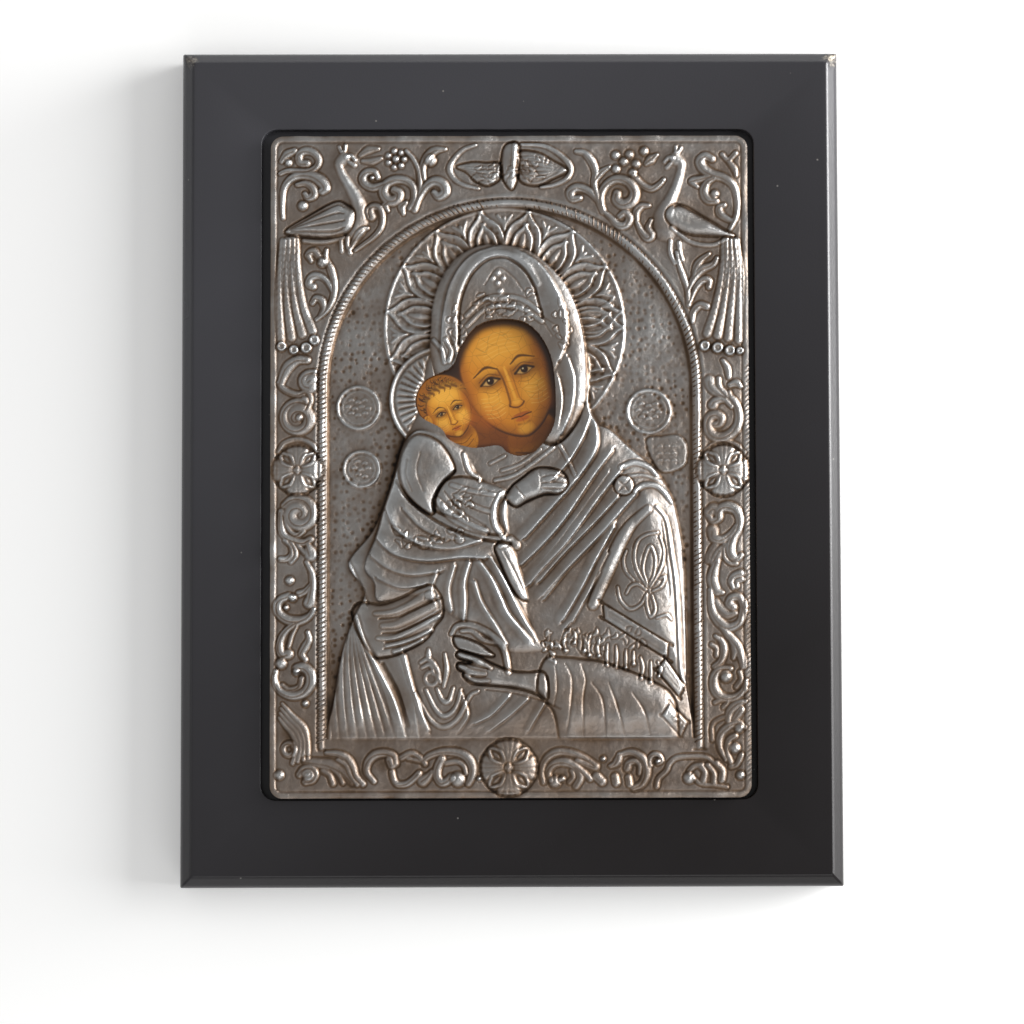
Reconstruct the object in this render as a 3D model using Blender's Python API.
"""Icon panel: a painted panel under an embossed silver cover, set in a lacquered board.

The panel lies on its back. +X is the picture's right, +Y its top and +Z comes out of its front.
The origin is the middle of the board's back. Lengths are in metres.

The relief is drawn in millimetres on a sheet of DRAWN_WIDTH by DRAWN_HEIGHT whose zero is the
middle of the board, as it is seen from the front, and is stretched to the cover's real size.
"""
import math

import bmesh
import bpy
import numpy as np

# Silver cover
COVER_WIDTH = 0.148
COVER_HEIGHT = 0.205
SHEET_THICKNESS = 0.0009
FRAME_STEP = 0.0011
RELIEF_HEIGHT = 0.0052
SKIRT_THICKNESS = 0.0012

# Painted panel
PANEL_THICKNESS = 0.0030
FIT_GAP = 0.0003

# Recess that holds the covered panel, and the gap it leaves on each side
RECESS_DEPTH = 0.0040
RECESS_CORNER_RADIUS = 0.0045
GAP_LEFT = 0.0029
GAP_RIGHT = 0.0021
GAP_TOP = 0.0024
GAP_BOTTOM = 0.0006

# Board
BOARD_THICKNESS = 0.018
BOARD_CORNER_RADIUS = 0.0006
RAIL_LEFT = 0.0252
RAIL_RIGHT = 0.0268
RAIL_TOP = 0.0248
RAIL_BOTTOM = 0.0272
EDGE_ROUND = 0.0040
EDGE_CHAMFER = 0.0027

# How finely the solids are faceted
CORNER_STEPS = 5
ROUND_STEPS = 3
COVER_TRIANGLES = 8600
GRID_STEP = 0.0008

# The size and depth that the relief is drawn at, in millimetres
DRAWN_WIDTH = 148.0
DRAWN_HEIGHT = 205.0
DRAWN_RELIEF = 5.2

BOARD_WIDTH = RAIL_LEFT + GAP_LEFT + COVER_WIDTH + GAP_RIGHT + RAIL_RIGHT
BOARD_HEIGHT = RAIL_BOTTOM + GAP_BOTTOM + COVER_HEIGHT + GAP_TOP + RAIL_TOP
COVER_X = RAIL_LEFT + GAP_LEFT + COVER_WIDTH / 2 - BOARD_WIDTH / 2
COVER_Y = RAIL_BOTTOM + GAP_BOTTOM + COVER_HEIGHT / 2 - BOARD_HEIGHT / 2
COVER_CORNER_RADIUS = RECESS_CORNER_RADIUS - min(GAP_LEFT, GAP_RIGHT, GAP_TOP, GAP_BOTTOM)
RECESS_FLOOR = BOARD_THICKNESS - RECESS_DEPTH
PANEL_BACK = RECESS_FLOOR + FIT_GAP
PANEL_FRONT = PANEL_BACK + PANEL_THICKNESS
SHEET_BACK = PANEL_FRONT + FIT_GAP

# Where the drawing's zero lies from the middle of the drawn sheet
DRAWN_SHIFT_X = -0.4
DRAWN_SHIFT_Y = 0.3


def clear_scene():
    for item in list(bpy.data.objects):
        bpy.data.objects.remove(item)


def material(name, colour, roughness, metallic=0.0):
    made = bpy.data.materials.new(name)
    made.use_nodes = True
    shader = made.node_tree.nodes["Principled BSDF"]
    shader.inputs["Base Color"].default_value = (*colour, 1.0)
    shader.inputs["Roughness"].default_value = roughness
    shader.inputs["Metallic"].default_value = metallic
    return made


def link_object(name, mesh, finish):
    made = bpy.data.objects.new(name, mesh)
    made.data.materials.append(finish)
    bpy.context.scene.collection.objects.link(made)
    return made


def add_object(name, shell, finish):
    """Turn a finished bmesh into a named object."""
    mesh = bpy.data.meshes.new(name)
    bmesh.ops.recalc_face_normals(shell, faces=shell.faces)
    shell.to_mesh(mesh)
    shell.free()
    return link_object(name, mesh, finish)


def rounded_rectangle(left, right, bottom, top, radius):
    """Points of a rectangle with round corners, anticlockwise from its right side."""
    corners = ((right, top, 0), (left, top, 90), (left, bottom, 180), (right, bottom, 270))
    points = []
    for corner_x, corner_y, start in corners:
        centre_x = corner_x - radius if corner_x == right else corner_x + radius
        centre_y = corner_y - radius if corner_y == top else corner_y + radius
        for step in range(CORNER_STEPS + 1):
            angle = math.radians(start + 90 * step / CORNER_STEPS)
            points.append((centre_x + radius * math.cos(angle), centre_y + radius * math.sin(angle)))
    return points


def centred_rectangle(centre_x, centre_y, width, height, radius):
    return rounded_rectangle(
        centre_x - width / 2, centre_x + width / 2, centre_y - height / 2, centre_y + height / 2, radius
    )


def loft(rings):
    """A closed body through rings of equally many points, capped at both ends."""
    shell = bmesh.new()
    rows = [[shell.verts.new((x, y, z)) for x, y in outline] for outline, z in rings]
    for lower, upper in zip(rows, rows[1:]):
        for index in range(len(lower)):
            after = (index + 1) % len(lower)
            shell.faces.new((lower[index], lower[after], upper[after], upper[index]))
    shell.faces.new(rows[0])
    shell.faces.new(rows[-1])
    return shell


def make_board():
    """The board: vertical sides, a rounded then chamfered front edge, and the routed recess."""
    rings = [(centred_rectangle(0, 0, BOARD_WIDTH, BOARD_HEIGHT, BOARD_CORNER_RADIUS), 0)]
    shoulder_inset = EDGE_ROUND * (1 - math.cos(math.radians(45)))
    shoulder = BOARD_THICKNESS - EDGE_CHAMFER
    for step in range(ROUND_STEPS + 1):
        angle = math.radians(45 * step / ROUND_STEPS)
        inset = EDGE_ROUND * (1 - math.cos(angle))
        height = shoulder - EDGE_ROUND * (math.sin(math.radians(45)) - math.sin(angle))
        size = (BOARD_WIDTH - 2 * inset, BOARD_HEIGHT - 2 * inset)
        rings.append((centred_rectangle(0, 0, *size, BOARD_CORNER_RADIUS), height))
    inset = shoulder_inset + EDGE_CHAMFER
    size = (BOARD_WIDTH - 2 * inset, BOARD_HEIGHT - 2 * inset)
    rings.append((centred_rectangle(0, 0, *size, BOARD_CORNER_RADIUS), BOARD_THICKNESS))
    recess = rounded_rectangle(
        RAIL_LEFT - BOARD_WIDTH / 2,
        BOARD_WIDTH / 2 - RAIL_RIGHT,
        RAIL_BOTTOM - BOARD_HEIGHT / 2,
        BOARD_HEIGHT / 2 - RAIL_TOP,
        RECESS_CORNER_RADIUS,
    )
    rings.append((recess, BOARD_THICKNESS))
    rings.append((recess, RECESS_FLOOR))
    lacquer = material("black_lacquer", (0.030, 0.029, 0.029), 0.32)
    return add_object("board", loft(rings), lacquer)


def panel_outline(spare):
    """Outline of the painted panel, or of the pocket round it when there is room to spare."""
    width = COVER_WIDTH - 2 * (SKIRT_THICKNESS + FIT_GAP - spare)
    height = COVER_HEIGHT - 2 * (SKIRT_THICKNESS + FIT_GAP - spare)
    radius = COVER_CORNER_RADIUS - SKIRT_THICKNESS - FIT_GAP + spare
    return centred_rectangle(COVER_X, COVER_Y, width, height, radius)


def make_picture_panel():
    outline = panel_outline(0)
    paint = material("painted_gesso", (0.46, 0.21, 0.045), 0.45)
    return add_object("picture_panel", loft([(outline, PANEL_BACK), (outline, PANEL_FRONT)]), paint)


class Sheet:
    """The silver sheet while it is worked: its height in drawn millimetres over a fine grid."""

    def __init__(self):
        across = round(COVER_WIDTH / GRID_STEP)
        along = round(COVER_HEIGHT / GRID_STEP)
        self.x = np.linspace(-DRAWN_WIDTH / 2, DRAWN_WIDTH / 2, across + 1) + DRAWN_SHIFT_X
        self.y = np.linspace(-DRAWN_HEIGHT / 2, DRAWN_HEIGHT / 2, along + 1) + DRAWN_SHIFT_Y
        self.grid_x, self.grid_y = np.meshgrid(self.x, self.y, indexing="ij")
        self.height = np.zeros_like(self.grid_x)

    def blank(self):
        return np.zeros_like(self.height)

    def window(self, low, high):
        across = slice(*np.searchsorted(self.x, (low[0], high[0])))
        along = slice(*np.searchsorted(self.y, (low[1], high[1])))
        return across, along

    def to_segment(self, area, start, end):
        """Distance of the grid points in an area from a straight stretch, and the share along it."""
        run = end - start
        from_x = self.grid_x[area] - start[0]
        from_y = self.grid_y[area] - start[1]
        share = np.clip((from_x * run[0] + from_y * run[1]) / max(run @ run, 1e-9), 0, 1)
        return np.hypot(from_x - share * run[0], from_y - share * run[1]), share

    def ridge(self, layer, points, width, height, crispness=1.0):
        """A rounded ridge along a path. Half width and height are single, or run start to end."""
        path = curve(points)
        shares = np.linspace(0, 1, len(path))
        widths = along_path(shares, width)
        heights = along_path(shares, height)
        for index in range(len(path) - 1):
            start, end = path[index], path[index + 1]
            reach = max(widths[index], widths[index + 1])
            area = self.window(np.minimum(start, end) - reach, np.maximum(start, end) + reach)
            distance, share = self.to_segment(area, start, end)
            wide = widths[index] + (widths[index + 1] - widths[index]) * share
            high = heights[index] + (heights[index + 1] - heights[index]) * share
            rise = high * np.clip(1 - (distance / wide) ** 2, 0, None) ** crispness
            layer[area] = np.maximum(layer[area], rise)

    def inside(self, outline, room=0.0):
        """How deep each grid point lies inside a closed outline, negative outside it."""
        path = curve(outline, closed=True)
        area = self.window(path.min(axis=0) - 1 - room, path.max(axis=0) + 1 + room)
        nearest = np.full(self.grid_x[area].shape, np.inf)
        crossings = np.zeros(nearest.shape, bool)
        for start, end in zip(path, np.roll(path, -1, axis=0)):
            distance, _ = self.to_segment(area, start, end)
            nearest = np.minimum(nearest, distance)
            low, high = sorted((start, end), key=lambda point: point[1])
            spans = (self.grid_y[area] >= low[1]) & (self.grid_y[area] < high[1])
            run = (self.grid_y[area] - low[1]) / max(high[1] - low[1], 1e-9)
            crossings ^= spans & (self.grid_x[area] < low[0] + run * (high[0] - low[0]))
        depth = np.full(self.height.shape, -np.inf)
        depth[area] = np.where(crossings, nearest, -nearest)
        return depth

    def swell(self, layer, outline, height, edge):
        """Raise the inside of an outline, rounded down over its edge."""
        layer[:] = np.maximum(layer, height * dome(self.inside(outline), edge))

    def disc(self, layer, centre, radius, height, edge):
        distance = np.hypot(self.grid_x - centre[0], self.grid_y - centre[1])
        layer[:] = np.maximum(layer, height * dome(radius - distance, edge))

    def ring(self, layer, centre, radius, width, height):
        distance = np.abs(np.hypot(self.grid_x - centre[0], self.grid_y - centre[1]) - radius)
        layer[:] = np.maximum(layer, height * np.clip(1 - (distance / width) ** 2, 0, None))


def curve(points, closed=False, steps=5):
    """A smooth curve through a few chosen points."""
    given = np.array(points, float)
    if closed:
        padded = np.vstack([given[-1:], given, given[:2]])
    else:
        padded = np.vstack([2 * given[0] - given[1], given, 2 * given[-1] - given[-2]])
    share = np.linspace(0, 1, steps, endpoint=False)[:, None]
    stretches = []
    for before, start, end, after in zip(padded, padded[1:], padded[2:], padded[3:]):
        bend = 2 * before - 5 * start + 4 * end - after
        twist = 3 * start - before - 3 * end + after
        stretches.append(start + 0.5 * ((end - before) * share + bend * share**2 + twist * share**3))
    if not closed:
        stretches.append(given[-1:])
    return np.vstack(stretches)


def along_path(shares, value):
    """A value at each share of a path, from one number or from a few that it runs through."""
    stops = np.atleast_1d(np.array(value, float))
    return np.interp(shares, np.linspace(0, 1, len(stops)), stops) if len(stops) > 1 else shares * 0 + stops[0]


def dome(depth, edge):
    """A rounded rise from nothing at an outline to full height a given way inside it."""
    share = np.clip(depth / edge, 0, 1)
    return np.sqrt(1 - (1 - share) ** 2)


def slope(value, low, high):
    """A soft step from 0 at low to 1 at high."""
    share = np.clip((value - low) / (high - low), 0, 1)
    return share * share * (3 - 2 * share)


def fan(first, last, count):
    """Paths that pass evenly from one chosen path to another."""
    first, last = np.array(first, float), np.array(last, float)
    return [first + (last - first) * index / (count - 1) for index in range(count)]


def spiral(centre, outer, inner, start, turn):
    """Points of a scroll that winds inwards. Angles are in degrees, anticlockwise."""
    share = np.linspace(0, 1, max(6, round(abs(turn) / 30)))
    angle = np.radians(start + turn * share)
    radius = outer + (inner - outer) * share
    return np.column_stack([centre[0] + radius * np.cos(angle), centre[1] + radius * np.sin(angle)])


def polar(centre, radius, angle):
    return (centre[0] + radius * math.cos(math.radians(angle)), centre[1] + radius * math.sin(math.radians(angle)))


# The frame of the field: an arch on straight sides
FRAME_X = -0.4
ARCH_Y = 24.0
ROPE_RADIUS = 58.1
FIELD_RADIUS = 55.3
FIELD_BOTTOM = -84.0
BAND_BOTTOM = -87.4


def beyond_arch(sheet):
    """How far each grid point lies outside the arch and its straight sides."""
    over = np.hypot(sheet.grid_x - FRAME_X, np.clip(sheet.grid_y - ARCH_Y, 0, None))
    return over - ROPE_RADIUS


def work_frame(sheet):
    """The sunk field, the raised border, its rolled rim and the rope round the arch."""
    step = FRAME_STEP * DRAWN_RELIEF / RELIEF_HEIGHT
    outside = beyond_arch(sheet)
    sides = slope(outside, FIELD_RADIUS - ROPE_RADIUS, -0.8)
    foot = slope(-sheet.grid_y, -FIELD_BOTTOM, -FIELD_BOTTOM + 0.9)
    sheet.height += step * np.maximum(sides, foot)
    trim = sheet.blank()
    left, bottom = sheet.x[0], sheet.y[0]
    right, top = sheet.x[-1], sheet.y[-1]
    edge = np.minimum(
        np.minimum(sheet.grid_x - left, right - sheet.grid_x), np.minimum(sheet.grid_y - bottom, top - sheet.grid_y)
    )
    trim += 0.7 * np.clip(1 - ((edge - 1.0) / 1.1) ** 2, 0, None)
    rope = 0.9 * np.clip(1 - (outside / 0.95) ** 2, 0, None)
    trim = np.maximum(trim, np.where(sheet.grid_y > FIELD_BOTTOM, rope, 0))
    sheet.ridge(trim, [(-59.0, BAND_BOTTOM), (0, BAND_BOTTOM), (60.2, BAND_BOTTOM)], 0.7, 0.35)
    sheet.ridge(trim, [(72.4, 60), (72.4, -8), (72.4, -75)], 0.7, 0.5)
    sheet.height += trim


def work_rosette(sheet, centre, radius, layer):
    """A round boss with four leaves on its diagonals and a cross of ribs between them."""
    sheet.disc(layer, centre, radius, 1.3, radius * 0.5)
    for turn in range(4):
        tip = polar(centre, radius * 0.93, 45 + 90 * turn)
        root = polar(centre, radius * 0.20, 45 + 90 * turn)
        sheet.ridge(layer, [root, tip], (1.0, radius * 0.27, 1.2), (1.9, 2.3, 1.5))
        arm = polar(centre, radius * 0.9, 90 * turn)
        sheet.ridge(layer, [centre, arm], (1.1, 1.5), (2.2, 1.7))


def work_peacock(sheet, side, layer):
    """A perched bird with its wing folded and its tail hanging down the border."""
    def place(points):
        return [(side * x, y) for x, y in points]

    neck = [(51.5, 96.5), (53.3, 93), (51.8, 88), (49.5, 84), (46.8, 79), (48.5, 74.5)]
    sheet.ridge(layer, place(neck), (1.5, 1.2, 1.6, 2.4, 3.4), (1.3, 1.2, 1.4, 1.7, 1.5))
    wing = [(48.3, 78.5), (54.0, 81.5), (62.0, 77.3), (70.0, 72.3), (60.0, 71.8), (50.5, 73.5)]
    sheet.swell(layer, place(wing), 2.0, 3.2)
    tails = fan([(65.5, 71), (65.0, 60), (62.5, 48), (60.5, 40)], [(69.5, 71), (70.8, 60), (70.6, 48), (70.7, 38)], 4)
    for feather in tails:
        sheet.ridge(layer, place(feather), (0.9, 1.1, 1.3), (1.4, 1.2, 1.0))
        sheet.disc(layer, place(feather[-1:] - (0, 1.5))[0], 1.7, 1.3, 1.4)
    for foot in ([(53.0, 71), (52.8, 65.5)], [(49.5, 71), (49.5, 66.0)]):
        sheet.ridge(layer, place(foot), 0.6, 0.9)


def work_border(sheet):
    """Rosettes, birds and acanthus scrolls, raised from the border's flat ground."""
    layer = sheet.blank()
    for centre, radius in (((-66, -1.2), 7.6), ((65.5, -1.4), 7.9), ((-1, -92.9), 8.6)):
        work_rosette(sheet, centre, radius, layer)
    for side in (-1, 1):
        work_peacock(sheet, side, layer)
    scrolls = (
        ((-65.8, 14.9), 5.6, 1.0, 60, 560), ((-65.3, -14.8), 5.4, 1.0, 170, -560),
        ((-67.0, -65.8), 5.0, 1.0, 175, 520), ((65.6, 14.2), 5.5, 1.2, 60, -560),
        ((65.7, -17.8), 5.3, 1.0, 60, 430), ((66.3, -66.6), 5.0, 1.0, 20, -480),
        ((-39.5, -93.4), 4.8, 0.8, 215, -470), ((-17.3, -94.2), 5.4, 0.9, 110, -420),
        ((14.8, -95.2), 5.6, 1.0, 60, 420), ((36.8, -93.6), 4.8, 0.8, 100, -470),
        ((-35.5, 85.0), 5.4, 1.2, -40, 480), ((34.0, 84.0), 5.3, 1.2, 215, -480),
        ((-64.0, 82.0), 6.6, 1.6, 200, -330), ((64.0, 80.5), 6.9, 1.6, -40, 330),
    )
    for scroll in scrolls:
        sheet.ridge(layer, spiral(*scroll), (0.9, 1.1, 0.9), (0.9, 1.5, 1.0))
    stems = (
        [(-62, -22), (-61.3, -30), (-60.9, -36), (-62.5, -43)], [(-71.5, -43), (-70, -48), (-63, -48), (-61, -45)],
        [(-66, -49.5), (-70, -53), (-70.8, -57), (-68, -58.5)], [(-72, -73), (-67, -77), (-63, -82), (-63.5, -89)],
        [(-56, -88.5), (-50.5, -90), (-48.5, -95), (-46, -98)], [(-63, -92), (-57, -92.5), (-52, -95), (-48, -98)],
        [(68.5, -22), (67.5, -26), (69.5, -29), (71, -27.5)], [(65.5, -30), (62, -35), (62.8, -40), (65, -40)],
        [(70, -42), (70.3, -47), (66, -50), (62, -46)], [(62, -53), (64, -57), (63.3, -61)],
        [(67, -52), (69.5, -56), (70.3, -62)], [(71, -73), (65, -77), (62.5, -82), (62, -90)],
        [(44.5, -98), (48, -93), (54, -90), (62, -91.5)], [(-69, 29), (-66, 33), (-62, 32), (-62.5, 26)],
        [(64.5, 27), (66.5, 22), (70.3, 17.5)], [(-24, 97), (-27, 92), (-29, 84), (-38, 78)],
        [(24, 97), (27, 92), (29, 84), (33, 76)], [(-41, 75), (-48, 68), (-54, 61), (-60, 57)],
        [(42, 74), (48, 67), (53, 60), (59, 58)], [(-44, 97), (-37, 97), (-31, 96)], [(44, 96), (37, 96), (31, 96)],
    )
    for stem in stems:
        sheet.ridge(layer, stem, (0.7, 1.3, 0.8), (0.8, 1.4, 0.8))
    berries = (
        (-68, -36), (-66.8, -41.5), (-70.5, -61), (-71, -95), (-62.5, -95), (-62.6, 26.5), (68.5, -80.6),
        (67, -85), (68, -88.5), (54.5, -96), (70, -96), (69.3, -43), (28, -90.5), (44, -90.3), (-42, 90), (-64, 80.5),
        (-34, 96), (35.5, 95), (61.5, 56.5),
    )
    for berry in berries:
        sheet.disc(layer, berry, 1.6, 1.5, 1.5)
    body = [(2, 99.5), (1, 94), (0.5, 87)]
    sheet.ridge(layer, body, (1.5, 2.4, 2.0), (1.4, 2.0, 1.4))
    for side in (-1, 1):
        wing = [(3.5, 98.5), (11, 99.5), (18.5, 93), (13, 88), (4, 88.5)]
        sheet.swell(layer, [(side * x + 0.5, y) for x, y in wing], 1.4, 2.4)
    sheet.height += layer


def work_halos(sheet):
    """The mother's halo of nested ogee petals, and the child's ribbed one over its lower edge."""
    layer = sheet.blank()
    centre = (-2.0, 43.0)
    sheet.disc(layer, centre, 37.4, 0.5, 1.2)
    sheet.ring(layer, centre, 36.8, 0.9, 0.9)
    for index in range(14):
        angle = -24 + 23.5 * index
        for size, rise in ((1.0, 1.2), (0.62, 1.6)):
            flank = 9.8 * size
            outline = [
                polar(centre, 22, angle - flank * 0.8), polar(centre, 27, angle - flank),
                polar(centre, 27 + 6.3 * size, angle - flank * 0.62), polar(centre, 27 + 9.3 * size, angle),
                polar(centre, 27 + 6.3 * size, angle + flank * 0.62), polar(centre, 27, angle + flank),
                polar(centre, 22, angle + flank * 0.8),
            ]
            sheet.swell(layer, outline, rise, 2.2)
    child_centre = (-21.0, 20.5)
    distance = np.hypot(sheet.grid_x - child_centre[0], sheet.grid_y - child_centre[1])
    within = distance < 17.0
    layer[within] = 1.0
    sheet.ring(layer, child_centre, 16.2, 1.1, 1.9)
    for index in range(18):
        angle = 60 + 11 * index
        sheet.ridge(layer, [polar(child_centre, 9.5, angle), polar(child_centre, 15.2, angle)], 1.2, (1.5, 1.9))
    sheet.height += layer


def work_medallions(sheet):
    """Round letter medallions and a rounded plate beside the figures."""
    layer = sheet.blank()
    for centre, radius in (((-47.3, 18.2), 7.0), ((-46.3, -0.8), 6.0), ((42.6, 16.9), 7.2)):
        sheet.disc(layer, centre, radius, 0.5, 1.0)
        sheet.ring(layer, centre, radius - 0.9, 0.9, 1.1)
    plate = [(42, 8.3), (47, 9.3), (52, 9.5), (54.5, 6), (53.5, 0), (47, -2), (43.5, 2)]
    sheet.swell(layer, plate, 0.7, 1.0)
    sheet.height += layer


def raise_figure(sheet, outline, base, rise, edge):
    """Replace what lies inside an outline with a rounded body that stands on what is there."""
    depth = sheet.inside(outline)
    within = depth > 0
    sheet.height[within] = base + rise * dome(depth[within], edge)
    return within


def work_folds(sheet, within, folds):
    """Raise folds on a body, kept inside it. Each is a path, its half width and its height."""
    layer = sheet.blank()
    for points, width, height in folds:
        sheet.ridge(layer, points, width, height)
    sheet.height[within] += layer[within]


def work_mother(sheet):
    """The mother's mantle, half length, with its folds falling from the shoulder."""
    mantle = [
        (-24, 36), (0, 40), (23, 36), (24, 20), (31, 11), (38, 4.5), (44.5, -1), (50, -11), (53, -26), (53.6, -42),
        (54, -66), (53.5, -86), (20, -86), (-20, -86), (-55, -86), (-54.6, -70), (-50.5, -50), (-47, -38),
        (-50, -30), (-43, -20), (-38, -8), (-34, 6), (-28, 20),
    ]
    within = raise_figure(sheet, mantle, 0.5, 2.6, 9.0)
    within &= sheet.grid_y > FIELD_BOTTOM
    sheet.height[~within & (sheet.grid_y > BAND_BOTTOM) & (sheet.grid_y <= FIELD_BOTTOM)] = 1.1
    folds = []
    for path in fan([(22.8, 28), (25.4, 11), (16, -7), (3, -22)], [(38.5, -14), (31, -28), (24, -43), (15, -52)], 7):
        folds.append((path, (1.2, 1.7, 1.3), (0.8, 1.3, 0.6)))
    for path in fan([(43, -10), (45, -28), (44, -48)], [(47, -9), (51, -35), (52, -66)], 3):
        folds.append((path, (1.0, 1.6, 1.2), (0.9, 1.3, 0.6)))
    for path in fan([(16, -61), (18, -72), (17, -83)], [(37, -69), (41, -77), (44, -83)], 5):
        folds.append((path, (1.0, 1.8, 1.4), (0.6, 1.1, 0.7)))
    for path in fan([(-52, -50), (-54, -70), (-53, -83)], [(-48, -46), (-41, -66), (-34, -83)], 5):
        folds.append((path, (1.0, 1.5, 1.5), (0.7, 1.2, 0.8)))
    for path in fan([(-33, -60), (-30, -72), (-26, -81)], [(-26, -62), (-22, -74), (-14, -77)], 3):
        folds.append((path, (1.0, 1.4, 1.2), (0.7, 1.1, 0.6)))
    folds.append(([(15, -60.5), (27, -62), (42, -66.5), (49, -71.5)], (1.2, 2.4, 2.0), (1.0, 1.8, 1.4)))
    folds.append(([(30, -44.5), (38, -50), (46, -56.5)], 2.2, 1.4))
    for index in range(11):
        top = (14.5 + 3.1 * index, -53.2 - 0.55 * index)
        folds.append(([top, (top[0] - 0.3, top[1] - 5.2)], 1.0, (1.3, 1.0)))
    work_folds(sheet, within, folds)


def work_veil(sheet):
    """The veil over the mother's head, a hood with a bonnet band and heavy edge folds."""
    veil = [
        (-25, 34), (-25, 43), (-22, 58), (-17, 65), (-10, 68.7), (-3, 69), (5, 67.5), (12, 62.5), (18, 55),
        (21.5, 46), (23.5, 36), (24, 24), (20, 12), (12, 6), (0, 14), (-20, 22),
    ]
    within = raise_figure(sheet, veil, 1.3, 2.4, 5.0)
    folds = [
        ([(-15.5, 42), (-13.5, 56), (-7, 63.5), (0, 63.5), (7, 56), (9.5, 46)], (1.3, 1.6, 1.3), 0.9),
        ([(4, 65), (13, 55), (16.5, 43), (15, 30)], (1.2, 2.2, 1.5), (0.8, 1.4, 0.9)),
        ([(12, 62.5), (19.5, 50), (22, 36), (22, 20)], (0.9, 1.4, 1.2), (0.6, 1.0, 0.7)),
        ([(-13, 47), (-8, 51.5), (-3, 52.5), (3, 51.5), (8.5, 48)], 1.2, 0.8),
        ([(-21, 40), (-19, 54), (-10, 65), (0, 66.5)], (1.0, 1.4, 1.0), 0.7),
    ]
    work_folds(sheet, within, folds)


def work_child(sheet):
    """The child on the mother's arm, in a sleeved robe that falls over the knees."""
    robe = [
        (-33, 8), (-35.5, -4), (-40.5, -17), (-45.5, -32), (-41, -42), (-30, -40), (-14, -48), (-3, -56), (10, -56),
        (6, -42), (1, -31), (-1, -24), (5, -12), (16.5, -8), (17, -4), (11, -1), (5, -5), (-2, -8), (-8, -3),
        (-12, 5), (-22, 8),
    ]
    within = raise_figure(sheet, robe, 3.2, 1.3, 3.5)
    folds = []
    for path in fan([(-26, 0), (-24, -10), (-12, -22)], [(-31, 0), (-33, -12), (-24, -24)], 3):
        folds.append((path, (1.0, 1.6, 1.2), (0.5, 1.0, 0.6)))
    for path in fan([(-2, -24), (-14, -26), (-38, -17)], [(-6, -31), (-22, -33), (-43, -32)], 4):
        folds.append((path, (1.1, 1.7, 1.2), (0.9, 1.1, 0.6)))
    for path in fan([(0, -30), (3, -42), (8, -54)], [(-18, -34), (-17, -42), (-13, -47)], 6):
        folds.append((path, (1.1, 1.5, 1.1), (1.0, 1.1, 0.6)))
    folds.append(([(-22, -12), (-12, -17), (-1, -12), (8, -6), (15, -6)], (2.6, 2.6, 2.0, 2.0), (1.3, 1.4, 1.2, 0.9)))
    folds.append(([(-25, -1), (-22, 4), (-11, 4), (-10, -6)], (1.0, 1.4, 1.2), 0.8))
    work_folds(sheet, within, folds)


def work_hands(sheet):
    """The hand that holds the child, and the one raised before the sleeve below it."""
    layer = sheet.blank()
    for path in fan([(-40, -45.5), (-32, -44), (-24, -42.5)], [(-38.5, -56), (-31, -54.5), (-23, -51.5)], 4):
        sheet.ridge(layer, path, (1.5, 1.8, 1.4), (1.0, 1.6, 1.2))
    sheet.ridge(layer, [(-40, -58.5), (-33, -58), (-27, -56.5)], (1.4, 1.8, 1.2), (1.0, 1.2, 0.8))
    for path in fan([(8, -64), (-6, -61), (-17, -57.5)], [(8, -68), (-5, -66.5), (-16, -63)], 3):
        sheet.ridge(layer, path, (2.0, 1.9, 1.3), (1.7, 1.5, 1.2))
    sheet.ridge(layer, [(-17, -51), (-8, -52), (-2, -57), (-1, -63)], (1.3, 1.9, 1.5), (1.1, 1.5, 1.0))
    sheet.height += layer


# The opening that leaves the painted faces bare
OPENING = [
    (-18, 31), (-15.5, 37), (-12, 42), (-8, 44.5), (-2, 45.5), (4, 44.5), (8, 41.5), (11, 37), (13, 31), (13.8, 21),
    (13, 12), (8, 5), (3, 3), (-1, 4), (-4, 6.2), (-12, 5.5), (-19, 8), (-21.5, 11.5), (-28, 15.5), (-29.5, 21),
    (-26.5, 26.5), (-21.5, 29),
]


def work_sheet():
    """Emboss the whole sheet, from its ground up to the figures."""
    sheet = Sheet()
    work_frame(sheet)
    work_halos(sheet)
    work_medallions(sheet)
    work_mother(sheet)
    work_veil(sheet)
    work_child(sheet)
    work_hands(sheet)
    work_border(sheet)
    around = np.abs(sheet.inside(OPENING, room=2.0))
    sheet.height += 0.4 * np.clip(1 - (around / 1.2) ** 2, 0, None)
    return sheet


def to_cover(x, y):
    """A place on the drawing, in millimetres, as a place on the part, in metres."""
    across = COVER_X + (x - DRAWN_SHIFT_X) / DRAWN_WIDTH * COVER_WIDTH
    along = COVER_Y + (y - DRAWN_SHIFT_Y) / DRAWN_HEIGHT * COVER_HEIGHT
    return across, along


def pull_corners(x, y):
    """Bring the points of the square grid in to the cover's round corners."""
    inner_x = COVER_WIDTH / 2 - COVER_CORNER_RADIUS
    inner_y = COVER_HEIGHT / 2 - COVER_CORNER_RADIUS
    over_x = np.clip(np.abs(x - COVER_X) - inner_x, 0, None)
    over_y = np.clip(np.abs(y - COVER_Y) - inner_y, 0, None)
    reach = np.hypot(over_x, over_y)
    share = np.where(reach > 0, np.maximum(over_x, over_y) / np.where(reach > 0, reach, 1), 1)
    return x - np.sign(x - COVER_X) * over_x * (1 - share), y - np.sign(y - COVER_Y) * over_y * (1 - share)


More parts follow.
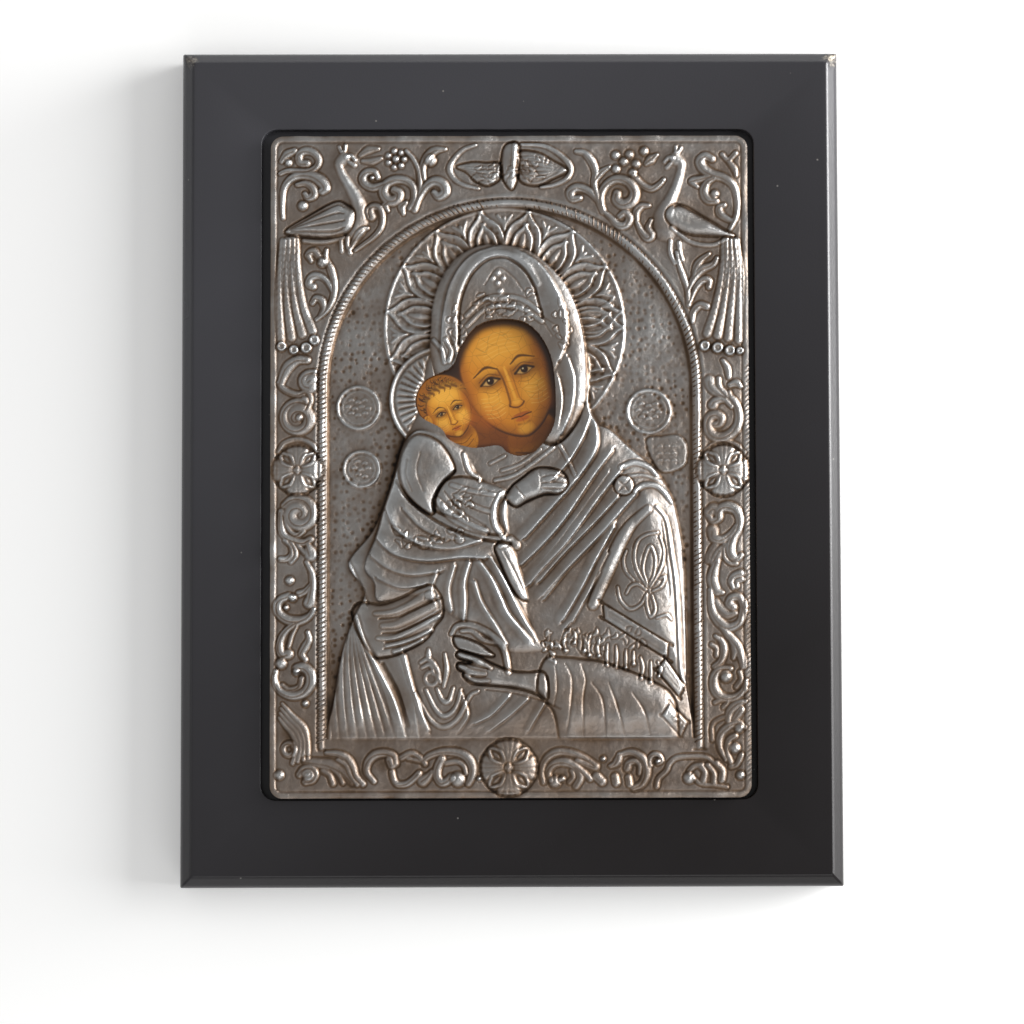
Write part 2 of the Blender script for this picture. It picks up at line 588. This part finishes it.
def sheet_mesh(sheet):
    """A closed body with the worked sheet on top, a flat underside and upright sides."""
    columns, rows = sheet.height.shape
    x, y = pull_corners(*to_cover(sheet.grid_x, sheet.grid_y))
    top = SHEET_BACK + SHEET_THICKNESS + sheet.height * RELIEF_HEIGHT / DRAWN_RELIEF
    corners = [np.stack([x, y, z], axis=-1).reshape(-1, 3) for z in (top, np.full_like(top, PANEL_BACK))]
    index = np.arange(columns * rows).reshape(columns, rows)
    cells = (index[:-1, :-1], index[1:, :-1], index[1:, 1:], index[:-1, 1:])
    upper = np.stack(cells, axis=-1).reshape(-1, 4)
    lower = upper[:, ::-1] + columns * rows
    rim = np.concatenate([index[:-1, 0], index[-1, :-1], index[:0:-1, -1], index[0, :0:-1]])
    after = np.roll(rim, -1)
    walls = np.stack([rim + columns * rows, after + columns * rows, after, rim], axis=-1)
    mesh = bpy.data.meshes.new("silver_cover")
    faces = np.vstack([upper, lower, walls])
    mesh.from_pydata(np.vstack(corners).tolist(), [], faces.tolist())
    return mesh


def make_cutter(name, outline, low, high):
    cutter = add_object(name, loft([(outline, low), (outline, high)]), material(name, (1, 0, 0), 0.5))
    cutter.hide_render = True
    cutter.display_type = "WIRE"
    return cutter


def make_silver_cover():
    """The embossed cover: worked on top, hollowed for the panel, and pierced over the faces."""
    silver = material("oxidised_silver", (0.42, 0.39, 0.36), 0.38, 1.0)
    cover = link_object("silver_cover", sheet_mesh(work_sheet()), silver)
    thinned = cover.modifiers.new("thinned", "DECIMATE")
    thinned.ratio = COVER_TRIANGLES / (2 * len(cover.data.polygons))
    pocket = make_cutter("panel_pocket", panel_outline(FIT_GAP), PANEL_BACK - 0.002, SHEET_BACK)
    outline = [to_cover(*point) for point in curve(OPENING, closed=True, steps=3)]
    opening = make_cutter("face_opening", outline, PANEL_FRONT, SHEET_BACK + 2 * RELIEF_HEIGHT)
    for cutter in (pocket, opening):
        cut = cover.modifiers.new(cutter.name, "BOOLEAN")
        cut.object = cutter
        cut.operation = "DIFFERENCE"
        cut.solver = "EXACT"
    return cover


clear_scene()
make_board()
make_picture_panel()
make_silver_cover()
